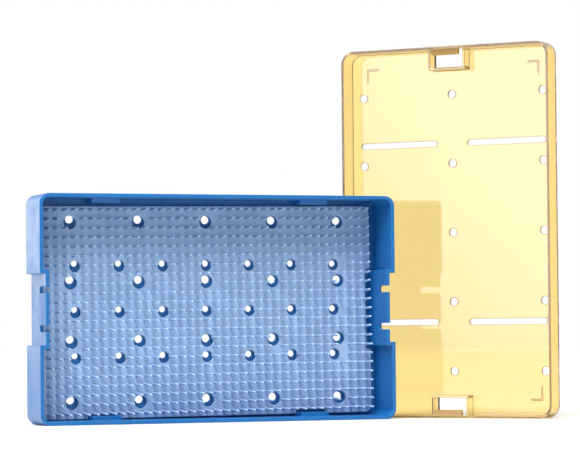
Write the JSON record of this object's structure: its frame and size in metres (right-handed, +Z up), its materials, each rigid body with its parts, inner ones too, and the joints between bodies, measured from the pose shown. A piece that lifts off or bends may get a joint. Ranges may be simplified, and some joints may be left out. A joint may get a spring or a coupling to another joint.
{
  "type": "dental instrument cassette",
  "caption": "Flat plastic instrument tray with a silicone finger mat and springy end latches, standing on its side by its clear lid.",
  "frame": {"origin": "centre of the tray's lower long wall, the face that it stands on", "axes": "+X along the tray's length, +Y from the tray's open face towards its back, +Z up"},
  "size_m": [0.3525, 0.1293, 0.2584],
  "materials": {
    "tray_plastic": "moulded, satin gloss",
    "mat_silicone": "matt silicone",
    "lid_plastic": "clear amber, polished"
  },
  "bodies": {
    "tray": {"tray": "tray_plastic"},
    "left_tongue": {"left_latch_tongue": "tray_plastic"},
    "right_tongue": {"right_latch_tongue": "tray_plastic"},
    "mat": {"finger_mat": "mat_silicone"},
    "lid": {"lid": "lid_plastic"}
  },
  "joints": [
    {"name": "left_tongue_bend", "type": "hinge", "parent": "tray", "child": "left_tongue", "pos_m": [-0.1205, -0.003, 0.077], "axis": [0, 0, 1], "range_deg": [0, 9], "stiffness_Nm_per_rad": 0.4},
    {"name": "right_tongue_bend", "type": "hinge", "parent": "tray", "child": "right_tongue", "pos_m": [0.1205, -0.003, 0.077], "axis": [0, 0, -1], "range_deg": [0, 9], "stiffness_Nm_per_rad": 0.4},
    {"name": "mat_lift_out", "type": "slide", "parent": "tray", "child": "mat", "axis": [0, -1, 0], "range_m": [0, 0.06]},
    {"name": "lid_carry_off", "type": "slide", "parent": "tray", "child": "lid", "axis": [0.7547, 0.6561, 0], "range_m": [0, 0.15]}
  ]
}
